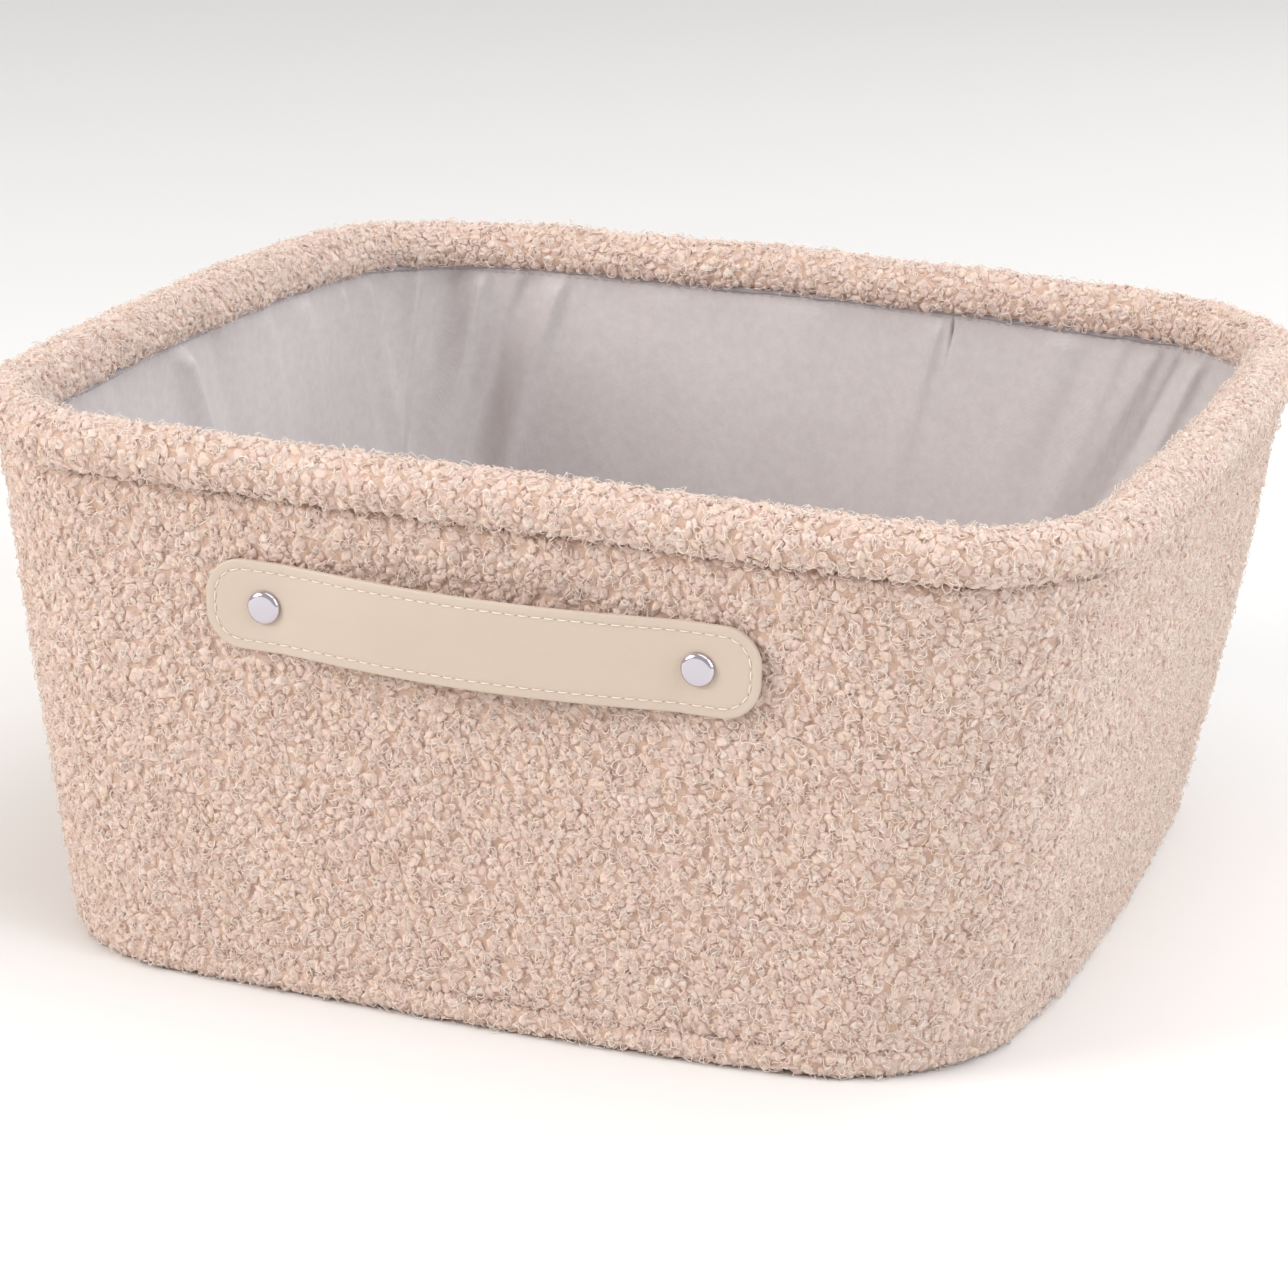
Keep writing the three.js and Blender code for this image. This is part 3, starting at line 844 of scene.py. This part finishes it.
edging = ribbon("edging_foam", hood_profile(), "rim_foam", FOAM)
WIRE_OUT, WIRE_RADIUS = -4.5, 2.0
WIRE_Z = FOAM_TOP - FOAM_THICKNESS - 0.3 - WIRE_RADIUS
wire = [(WIRE_OUT + WIRE_RADIUS * math.cos(a), WIRE_Z + WIRE_RADIUS * math.sin(a)) for a in full_turn(16)]
ribbon("rim_wire_ring", wire, "rim_wire", STEEL)

# ---- Lining ----

FOLD_BANDS = smooth_noise(51, 64, 1)
FOLD_FINE = smooth_noise(52, 150, 1)
FOLD_BROAD = smooth_noise(53, 22, 2)
CRUMPLE = smooth_noise(54, 120, 14)
STEEP_FLANK = 2.1  # a pleat's one flank against its other


class Folds:
    """Pleats of the loose lining: each runs down from the seam, leaning and fading."""

    # share of the way round, half width, height inwards, lean, reach down: those in plain view
    CHOSEN = (
        (0.6045, 0.0075, 5.4, -0.05, 1.2), (0.583, 0.008, -2.6, -0.03, 0.8),  # ridge on the left end
        (0.416, 0.005, 3.6, 0.045, 1.0), (0.4265, 0.0045, -2.2, 0.05, 0.9),
        (0.440, 0.006, 3.4, 0.05, 1.0), (0.4525, 0.005, -2.0, 0.05, 1.0),
        (0.465, 0.005, 2.8, 0.035, 0.8), (0.488, 0.006, 3.0, -0.02, 1.0), (0.505, 0.005, 2.2, -0.03, 1.0),
        (0.527, 0.008, 2.6, -0.03, 1.0), (0.551, 0.008, 2.2, -0.02, 1.0),
        (0.3045, 0.0009, -2.6, 0.004, 0.09), (0.3075, 0.004, 1.5, 0.02, 0.45),  # a tuck in the seam
        (0.270, 0.010, 1.5, 0.03, 1.0), (0.2565, 0.006, 1.4, 0.03, 0.8),
        (0.2465, 0.007, 1.9, 0.045, 0.9), (0.237, 0.005, -1.5, 0.045, 0.8), (0.2275, 0.006, 2.5, 0.05, 0.9),
        (0.345, 0.016, 1.6, 0.02, 1.2), (0.385, 0.013, 1.4, -0.02, 1.2),
    )

    def __init__(self):
        rng = np.random.default_rng(55)
        self.pleats = list(self.CHOSEN)
        for _ in range(26):
            place = (0.64 + 0.56 * rng.random()) % 1.0
            self.pleats.append((
                place, rng.uniform(0.003, 0.009), rng.uniform(0.6, 2.2) * rng.choice([1, -0.6]),
                rng.normal(0, 0.02), rng.uniform(0.4, 1.0),
            ))

    def __call__(self, share, down):
        total = 0 * share
        for place, width, height, lean, reach in self.pleats:
            across = share_apart(share, place + lean * down) / (width * (0.7 + 1.6 * down))
            across = np.where(across * height < 0, STEEP_FLANK * across, across)
            fade = np.clip(down / 0.04, 0, 1) * np.exp(-((down / reach) ** 2) * 1.6)
            total = total + height * np.exp(-across * across) * fade
        return total


folds = Folds()
LINING_TOP, LINING_FOOT = SEAM - 1.0, 6.2
FOOT_EDGE = LINING_FOOT + 0.1  # where the lining's wall meets its bottom
SLACK_OUT, SLACK_IN = -1.6, 6.5  # how far the loose cloth may lie from its even face


def lining_point(share, z):
    """The lining's face: straight under the seam, loose below it, rounded into the floor."""
    down = np.clip((LINING_TOP - z) / (LINING_TOP - LINING_FOOT), 0, 1)
    loose = np.clip(down / 0.03, 0, 1)
    slack = (
        0.5 * FOLD_BANDS(share + 0.01 * down, down) + 0.9 * FOLD_BROAD(share, down)
        + 0.45 * FOLD_FINE(share, down) * np.exp(-down * 14) + 0.10 * CRUMPLE(share, down)
    ) * loose
    # the base board holds the foot of the lining out against the wall
    free = np.clip((z - 13.0) / 24.0, 0, 1)
    # it lies over the feet of the rivet posts, which don't follow the wall's swell
    x = skin(share, z, LINING_FACE)[..., 0]
    over_foot = np.clip(1.9 - np.hypot(np.abs(x) - RIVET_SPACING / 2, z - HANDLE_HEIGHT) / 7.0, 0, 1)
    least = SLACK_OUT + (2.3 + swell(share, z)) * over_foot
    inwards = np.clip(0.9 + (0.3 + slack + folds(share, down)) * free, least, SLACK_IN)
    foot = 3.5 * np.clip(1 - (z - LINING_FOOT) / 3.0, 0, 1) ** 2
    return skin(share, z, LINING_FACE - inwards - foot)


def lining():
    """The lining's wall, from the floor up into the hem."""
    # closer together where the folds are deepest, and most of all at the tuck
    share = np.sort(np.concatenate([
        np.linspace(0.215, 0.625, 560), np.linspace(0.627, 1.213, 330) % 1.0, np.linspace(0.2985, 0.3125, 44)
    ]))
    up = np.linspace(0, 1, 104) ** 0.9
    points = lining_point(*np.meshgrid(share, FOOT_EDGE + (LINING_TOP + 1.6 - FOOT_EDGE) * up))
    # seen from inside, so the faces turn the other way
    quads = grid_quads(up.size, share.size)[:, ::-1]
    piece = make_mesh("lining_cloth", points, quads, [LINING_CLOTH])
    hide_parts("lining_wall")
    return piece


lining_cloth = lining()


def lining_floor():
    """The bottom of the lining's bag, under the base board."""
    rings, columns = 40, 360
    share = np.arange(columns) / columns
    edge = lining_point(share, np.full(columns, FOOT_EDGE))
    k = np.linspace(0.02, 1.02, rings)[:, None, None]
    points = edge[None] * np.concatenate([k, k, 1 + 0 * k], axis=2)
    ruck = smooth_noise(56, 40, 12)
    points[..., 2] = 5.2 + 0.35 * ruck(share[None] + 0 * k[..., 0], 0 * share[None] + k[..., 0])
    quads = np.concatenate([grid_quads(rings, columns), cap_quads(0, columns)[:, ::-1]])[:, ::-1]
    piece = make_mesh("lining_bottom", points, quads, [LINING_CLOTH])
    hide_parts("lining_base")


lining_floor()


def piping():
    """The folded edge of the lining, sewn along the hem's inner edge: a small wavy roll."""
    columns, around = 1500, 10
    share = np.arange(columns) / columns
    wave = smooth_noise(57, 210, 1)
    slow = smooth_noise(58, 40, 1)
    zero = np.zeros(columns)
    centre_z = SEAM - 0.4 + 0.55 * slow(share, zero) + 0.25 * wave(share, zero)
    centre_out = -10.3 + 0.35 * wave(share, zero + 0.9)
    height, width = 1.25 + 0.25 * slow(share, zero + 1), 0.95
    points = np.stack([
        skin(share, centre_z + height * math.sin(a), centre_out - width * math.cos(a))
        for a in full_turn(around)
    ])
    quads = loop_quads(around, columns)[:, ::-1]
    return make_mesh("lining_edge", points, quads, [PIPING_CLOTH])


lining_edge = piping()


def stitches(name, starts, ends, lifts, radius, material):
    """Short rounded threads, each from a start to an end, arched out along its lift."""
    segments = 7
    k = np.linspace(0, 1, segments)[None, :, None]
    arch = np.sin(np.pi * k) ** 0.5
    path = starts[:, None] * (1 - k) + ends[:, None] * k + lifts[:, None] * (arch - 0.35)
    thick = radius * (0.55 + 0.45 * np.sin(np.pi * k) ** 0.6)
    ring = tubes(path, unit(lifts)[:, None], thick, 4)
    piece = make_mesh(name, ring, repeat_quads(tube_quads(segments), ring), [material])
    subdivide = piece.modifiers.new("round", "SUBSURF")
    subdivide.levels = subdivide.render_levels = 1
    return piece


def lining_stitches():
    """A line of short stitches just under the piping."""
    pitch, length = 3.6, 2.3
    n = int(ROUND / pitch)
    share, z = np.arange(n) / n, np.full(n, SEAM - 2.6)
    half = length / 2 / ROUND
    a, b = lining_point(share - half, z), lining_point(share + half, z)
    inwards = unit(skin(share, z, -20) - skin(share, z, -10))
    return stitches("lining_stitches", a, b, inwards * 0.42, 0.2, GREY_THREAD)


lining_stitches()

# ---- Loose base board ----


def insert_cover():
    """Lining cloth glued over the board, turned under its edge."""
    low_corner, high_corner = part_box("insert_cover")
    low, high = low_corner.z / MM, high_corner.z / MM
    columns = 480
    share = np.arange(columns) / columns
    x, y, _ = outline(place_at(share), np.full(columns, low), LINING_FACE - 2.0)
    reach = np.hypot(x, y)
    puff = smooth_noise(61, 60, 20)
    # [inset, z] from the turned-in edge under the board to the top, then rings to the middle
    edge = [(14.0, low + 0.75), (13.5, low + 0.1), (7.0, low + 0.05), (1.6, low + 0.1), (0.3, low + 0.9),
            (0.0, (low + high) / 2), (0.3, high - 0.9), (1.5, high - 0.15), (4.0, high - 0.02)]
    rings = [(1 - inset / reach, np.full(columns, z)) for inset, z in edge]
    for k in np.linspace(0.96, 0.02, 40):
        rings.append((k, high + 0.10 + 0.22 * puff(share, np.full(columns, k)) * min(1, (1 - k) * 8)))
    points = np.stack([np.stack([x * k, y * k, z], axis=-1) for k, z in rings])
    middle = cap_quads((len(rings) - 1) * columns, columns)
    quads = np.concatenate([grid_quads(len(rings), columns), middle])
    piece = make_mesh("insert_cloth", points, quads, [LINING_CLOTH], None, INSERT)
    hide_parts("insert_cover")


def finish_node(name, material):
    """A new finish for a CAD node that stays in view."""
    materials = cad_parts[name].data.materials
    materials.clear()
    materials.append(material)


insert_cover()
finish_node("insert_board", CARDBOARD)

# ---- Strap handles ----

RIVETS = {"left": -RIVET_SPACING / 2, "right": RIVET_SPACING / 2}  # along the strap
CAP_RADIUS = 5.6
VISUAL_BOW = STRAP_BOW - 1.3
FLAT_REACH = RIVET_SPACING / 2 - CAP_RADIUS  # the strap lies flat from here out
BACKING, FACING = 0.3, 0.3 + STRAP_LAYER + 0.02  # the layers' undersides over the wall
DIMPLE_RADIUS, DIMPLE = 11.0, 0.7  # pressed in by each rivet
STITCH_INSET, STITCH_GROOVE, STITCH_PITCH = 3.2, 0.2, 4.2
CAP_BASE = FACING + STRAP_LAYER - DIMPLE + 0.05


def strap_frame(side):
    """A handle's own axes on the wall: its middle, along, up and out, as in the part."""
    sign = -1.0 if side == "front" else 1.0
    half = RIVET_SPACING / 2

    def face(z):
        half_width, half_depth, _ = wall_sizes(z)
        return bowed(half_depth, half_depth, half, half_width, FRONT_BOW)

    span = STRAP_WIDTH / 2
    lean = math.atan2(face(HANDLE_HEIGHT + span) - face(HANDLE_HEIGHT - span), STRAP_WIDTH)
    middle = np.array([0, sign * face(HANDLE_HEIGHT), HANDLE_HEIGHT])
    along = np.array([-sign, 0, 0])
    up = np.array([0, sign * math.sin(lean), math.cos(lean)])
    out = np.array([0, sign * math.cos(lean), -math.sin(lean)])
    return middle, along, up, out


def bow(x):
    share = np.minimum(1, np.abs(x) / FLAT_REACH)
    return VISUAL_BOW * (1 - share ** 2) ** 1.2


def strap_edge(inset, count=360):
    """Points evenly along the strap's outline, drawn in by `inset`, and the outline's length."""
    corner = STRAP_CORNER - inset
    x, y = STRAP_LENGTH / 2 - inset - corner, STRAP_WIDTH / 2 - inset - corner
    dense = []
    for cx, cy, start in ((1, 1, 0), (-1, 1, 90), (-1, -1, 180), (1, -1, 270)):
        for a in np.radians(np.linspace(start, start + 90, 24)):
            dense.append((cx * x + corner * math.cos(a), cy * y + corner * math.sin(a)))
    dense = np.array(dense + dense[:1])
    lengths = lengths_along(dense)
    at = np.linspace(0, lengths[-1], count, endpoint=False)
    even = np.stack([np.interp(at, lengths, dense[:, 0]), np.interp(at, lengths, dense[:, 1])], axis=-1)
    return even, lengths[-1]


def placed(axes, x, y, h):
    """Points from a handle's own lengths: along, up and out of the wall."""
    middle, along, up, out = axes
    x, y, h = np.broadcast_arrays(np.asarray(x, float), y, h)
    return middle + along * x[..., None] + up * y[..., None] + out * h[..., None]


def inset_of(x, y):
    """How far a place on a strap lies in from its outline."""
    dx = np.maximum(np.abs(x) - (STRAP_LENGTH / 2 - STRAP_CORNER), 0)
    dy = np.maximum(np.abs(y) - (STRAP_WIDTH / 2 - STRAP_CORNER), 0)
    return STRAP_CORNER - np.hypot(dx, dy)


def strap_height(x, y, base):
    """Height of a strap surface over the wall: the bow; on the facing also dips and a groove."""
    h = base + bow(x)
    if base < FACING:
        return h
    for rivet in RIVETS.values():
        h = h - DIMPLE * np.exp(-((np.hypot(x - rivet, y) / DIMPLE_RADIUS) ** 2) * 2.2)
    return h - STITCH_GROOVE * dip(inset_of(x, y), STITCH_INSET, 0.55)


# how far in the rings of a strap's face lie: close together across the line of stitching
FACE_INSETS = (1.6, 2.2, 2.6, 3.0, 3.4, 3.8, 4.2, 4.8, 5.6, 6.6)
# the rounded edge from the underside to the top: how far in, and share of the thickness
EDGE_STEPS = ((0.9, 0.0), (0.35, 0.1), (0.0, 0.42), (0.0, 0.6), (0.0, 0.75), (0.35, 0.95), (0.9, 1.0))


def strap_layer(name, side, base, inset, material, replaced):
    """A closed layer with softly rounded edges, from a grid that follows its outline."""
    axes = strap_frame(side)

    def ring(edge, h):
        return placed(axes, edge[:, 0], edge[:, 1], strap_height(edge[:, 0], edge[:, 1], base) + h)

    flat = [strap_edge(inset + drawn)[0] for drawn in FACE_INSETS]
    closing = np.linspace(0, 1, 9)[1:]
    flat += [flat[-1] * np.array([1 - 0.05 * k, 1 - 0.999 * k]) for k in closing]
    rows = [ring(edge, 0.0) for edge in flat[::-1]]
    rows += [ring(strap_edge(inset + drawn)[0], STRAP_LAYER * share) for drawn, share in EDGE_STEPS]
    rows += [ring(edge, STRAP_LAYER) for edge in flat]
    points = np.stack(rows)
    quads = grid_quads(len(rows), points.shape[1])
    piece = make_mesh(name, points, quads, [material])
    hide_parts(replaced)


def strap_stitches(side, face):
    """Thread round the strap's border, and short dark threads between its stitches as painted shade in the
    needle holes.
    """
    axes = strap_frame(side)
    edge, total = strap_edge(STITCH_INSET, 2400)
    n = int(round(total / STITCH_PITCH))

    def at(place):
        share = place / n
        q = edge[(share * len(edge)).astype(int) % len(edge)]
        return placed(axes, q[:, 0], q[:, 1], strap_height(q[:, 0], q[:, 1], face))

    i = np.arange(n)
    lift = np.tile(axes[3], (n, 1))
    stitches(f"{side}_strap_stitches", at(i + 0.14), at(i + 0.86), lift * 0.5, 0.36, CREAM_THREAD)
    # short dark threads as painted shade in the needle holes
    stitches(f"{side}_painted_hole_shades", at(i - 0.07), at(i + 0.07), lift * 0.1, 0.26, PAINTED_HOLE_SHADE)


def rivet_cap(name, axes, x, replaced):
    """A flat-topped cap with a rounded shoulder, turned round its own middle."""
    r, top = CAP_RADIUS, 2.3
    profile = [(0.4, 0), (r - 0.5, 0), (r, 0.4), (r, 0.9), (r - 0.18, 1.35), (r - 0.6, 1.85),
               (r - 1.15, 2.15), (r - 1.5, top - 0.06), (r - 2.2, top), (0.4, top + 0.05)]
    turn = full_turn(48)
    points = np.stack([
        placed(axes, x + radius * np.cos(turn), radius * np.sin(turn), CAP_BASE + h) for radius, h in profile
    ])
    quads = grid_quads(len(profile), turn.size)
    piece = make_mesh(name, points, quads, [CHROME])
    close_ends(piece)
    for face in piece.data.polygons:
        face.use_smooth = True
    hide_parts(replaced)


for side in ("front", "back"):
    strap_layer(f"{side}_strap_under", side, BACKING, 0.25, STRAP_BACK, f"{side}_strap_backing")
    strap_layer(f"{side}_strap_top", side, FACING, 0.0, STRAP_FACE, f"{side}_strap_facing")
    strap_stitches(side, FACING + STRAP_LAYER)
    for end, x in RIVETS.items():
        rivet_cap(f"{side}_rivet_{end}", strap_frame(side), x, f"{side}_rivet_cap_{end}")
        finish_node(f"{side}_rivet_post_{end}", STEEL)

# ---- Floor, light and camera ----


def stage():
    size = 6.0
    corners = [(-size, -size, 0), (size, -size, 0), (size, size, 0), (-size, size, 0)]
    mesh = bpy.data.meshes.new("floor")
    mesh.from_pydata(corners, [], [(0, 1, 2, 3)])
    mesh.materials.append(new_material("floor_paper", srgb(238, 236, 234), 0.8)[0])
    floor = add_object("floor", mesh)
    floor.location.z = -0.0002


def area_light(name, place, size, power, color=(1, 1, 1), target=(0, 0, 0.08)):
    data = bpy.data.lights.new(name, "AREA")
    data.shape = "RECTANGLE"
    data.size, data.size_y = size
    data.energy = power
    data.color = color
    lamp = add_object(name, data)
    lamp.location = place
    lamp.rotation_euler = (Vector(target) - Vector(place)).to_track_quat("-Z", "Y").to_euler()


# fitted to the outline and the rivets
AZIMUTH, ELEVATION, ROLL = (math.radians(angle) for angle in (18.368, 17.119, 2.453))
TARGET, DISTANCE = (0.0005, -0.0004, 0.0825), 1.4026  # metres
FOCAL, SHIFT = 3.03494, (-0.0170, -0.0026)  # of the picture's width
SENSOR = 36.0


def camera():
    data = bpy.data.cameras.new("camera")
    data.lens = FOCAL * SENSOR
    data.sensor_width = SENSOR
    data.shift_x, data.shift_y = SHIFT
    data.clip_start = 0.05
    cam = add_object("camera", data)
    turns = (AZIMUTH, "Z"), (math.pi / 2 - ELEVATION, "X"), (ROLL, "Z")
    around, tilt, roll = (Matrix.Rotation(angle, 4, axis) for angle, axis in turns)
    back = Matrix.Translation((0, 0, DISTANCE))
    cam.matrix_world = Matrix.Translation(TARGET) @ around @ tilt @ roll @ back
    bpy.context.scene.camera = cam


def surroundings():
    world = bpy.data.worlds.new("world")
    world.use_nodes = True
    background = world.node_tree.nodes["Background"]
    background.inputs["Color"].default_value = (1, 1, 1, 1)
    background.inputs["Strength"].default_value = 0.55
    bpy.context.scene.world = world
    bpy.context.scene.view_settings.view_transform = "Standard"


stage()
camera()
surroundings()
area_light("key", (-1.9, -1.7, 1.35), (1.4, 1.2), 47, (1.0, 0.985, 0.965))
area_light("side", (2.0, -0.6, 1.2), (1.2, 1.6), 23, (0.85, 0.93, 1.0))
area_light("back", (1.3, 2.3, 1.5), (1.4, 1.2), 20)
area_light("top", (0.6, -0.2, 2.2), (1.8, 1.8), 19, target=(0, 0, 0))
